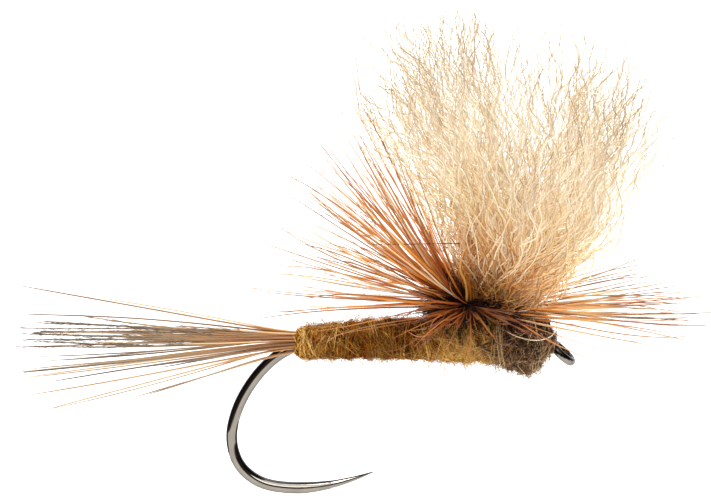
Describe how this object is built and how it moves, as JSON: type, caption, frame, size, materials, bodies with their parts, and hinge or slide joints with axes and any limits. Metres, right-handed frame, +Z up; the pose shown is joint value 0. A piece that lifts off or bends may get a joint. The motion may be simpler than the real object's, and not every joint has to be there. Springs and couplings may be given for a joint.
{
  "type": "dry fly",
  "caption": "Fishing dry fly: barbless down-eye hook with fanned tail, dubbed body, crinkly upright hair wing and a hackle feather wound round the wing's root.",
  "frame": {"origin": "centre of the hook's eye, on the fly's middle plane", "axes": "+X along the shank from the tail towards the eye, +Y to the fly's left, +Z up from the hook's bend to the wing"},
  "size_m": [0.0291, 0.0193, 0.0213],
  "materials": {
    "steel": "bronzed satin steel",
    "olive_thread": "waxed fine thread",
    "black_thread": "waxed fine thread",
    "tail_barb": "glossy keratin, ginger at the root to grey brown at the tip",
    "abdomen_fur": "golden olive spun fur",
    "thorax_fur": "yellow olive spun fur",
    "head_fur": "grey brown hare fur with dark guard hairs",
    "wing_hair": "crinkly cream hair, tan at the root",
    "hackle": "glossy ginger feather barbs, black at the stem"
  },
  "bodies": {
    "root": {"abdomen_dubbing": "abdomen_fur", "hackle_feather": "hackle", "head_dubbing": "head_fur", "head_thread_wraps": "olive_thread", "hook": "steel", "tail_barb_01": "tail_barb", "tail_barb_02": "tail_barb", "tail_barb_03": "tail_barb", "tail_barb_04": "tail_barb", "tail_barb_05": "tail_barb", "tail_barb_06": "tail_barb", "tail_barb_07": "tail_barb", "tail_barb_08": "tail_barb", "tail_barb_09": "tail_barb", "tail_barb_10": "tail_barb", "tail_barb_11": "tail_barb", "tail_barb_12": "tail_barb", "tail_barb_13": "tail_barb", "tail_barb_14": "tail_barb", "tail_barb_15": "tail_barb", "tail_barb_16": "tail_barb", "tail_barb_17": "tail_barb", "tail_barb_18": "tail_barb", "tail_barb_19": "tail_barb", "tail_barb_20": "tail_barb", "tail_barb_21": "tail_barb", "tail_barb_22": "tail_barb", "tail_barb_23": "tail_barb", "tail_barb_24": "tail_barb", "tail_barb_25": "tail_barb", "tail_barb_26": "tail_barb", "tail_barb_27": "tail_barb", "tail_barb_28": "tail_barb", "tail_tie_in_wraps": "olive_thread", "thorax_dubbing": "thorax_fur", "thread_base": "olive_thread", "wing_post_wraps": "black_thread", "wing_tuft_front_left": "wing_hair", "wing_tuft_front_right": "wing_hair", "wing_tuft_mid_front_left": "wing_hair", "wing_tuft_mid_front_right": "wing_hair", "wing_tuft_mid_rear_left": "wing_hair", "wing_tuft_mid_rear_right": "wing_hair", "wing_tuft_rear_left": "wing_hair", "wing_tuft_rear_right": "wing_hair"}
  },
  "joints": []
}
